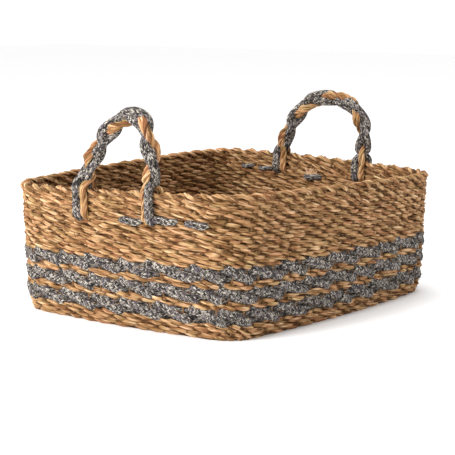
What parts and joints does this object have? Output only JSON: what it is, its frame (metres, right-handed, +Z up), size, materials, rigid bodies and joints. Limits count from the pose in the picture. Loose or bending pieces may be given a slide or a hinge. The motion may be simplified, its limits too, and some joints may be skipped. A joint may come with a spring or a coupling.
{
  "type": "bread basket",
  "caption": "Rectangular woven seagrass basket with rounded corners, grey marled cord bands around the lower wall and a braided loop handle on each short side.",
  "frame": {"origin": "on the floor under the middle of the basket", "axes": "X along the long side, from the left handle to the right handle; Y across the short side; Z up"},
  "size_m": [0.4115, 0.3316, 0.2207],
  "materials": {
    "seagrass": "dry twisted straw with a faint sheen",
    "rim_seagrass": "dry twisted straw, steeper twist",
    "floor_seagrass": "dry plaited straw",
    "stake_rush": "dry rush core",
    "grey_cord": "marled knitted cord, black, white and grey, matte"
  },
  "bodies": {
    "basket": {"floor_strips_crosswise": "floor_seagrass", "floor_strips_lengthwise": "floor_seagrass", "foot_row_1": "seagrass", "foot_row_2": "seagrass", "grey_band_lower": "grey_cord", "grey_band_middle": "grey_cord", "grey_band_upper": "grey_cord", "left_handle_grey_tails": "grey_cord", "left_handle_lacing": "grey_cord", "left_handle_seagrass_tails": "seagrass", "right_handle_grey_tails": "grey_cord", "right_handle_lacing": "grey_cord", "right_handle_seagrass_tails": "seagrass", "rim_border": "rim_seagrass", "rim_row_1": "rim_seagrass", "rim_row_2": "rim_seagrass", "seagrass_row_1": "seagrass", "seagrass_row_2": "seagrass", "seagrass_row_3": "seagrass", "seagrass_row_4": "seagrass", "seagrass_row_5": "seagrass", "seagrass_row_6": "seagrass", "seagrass_row_between_1": "seagrass", "seagrass_row_between_2": "seagrass", "stakes": "stake_rush"},
    "left_handle": {"left_handle_grey_cord_1": "grey_cord", "left_handle_grey_cord_2": "grey_cord", "left_handle_seagrass_strand": "seagrass"},
    "right_handle": {"right_handle_grey_cord_1": "grey_cord", "right_handle_grey_cord_2": "grey_cord", "right_handle_seagrass_strand": "seagrass"}
  },
  "joints": [
    {"name": "left_handle_fold", "type": "hinge", "parent": "basket", "child": "left_handle", "pos_m": [-0.19326, 0, 0.15], "axis": [0, 1, 0], "range_deg": [-60, 60]},
    {"name": "right_handle_fold", "type": "hinge", "parent": "basket", "child": "right_handle", "pos_m": [0.19182, 0, 0.15], "axis": [0, 1, 0], "range_deg": [-60, 60]}
  ]
}
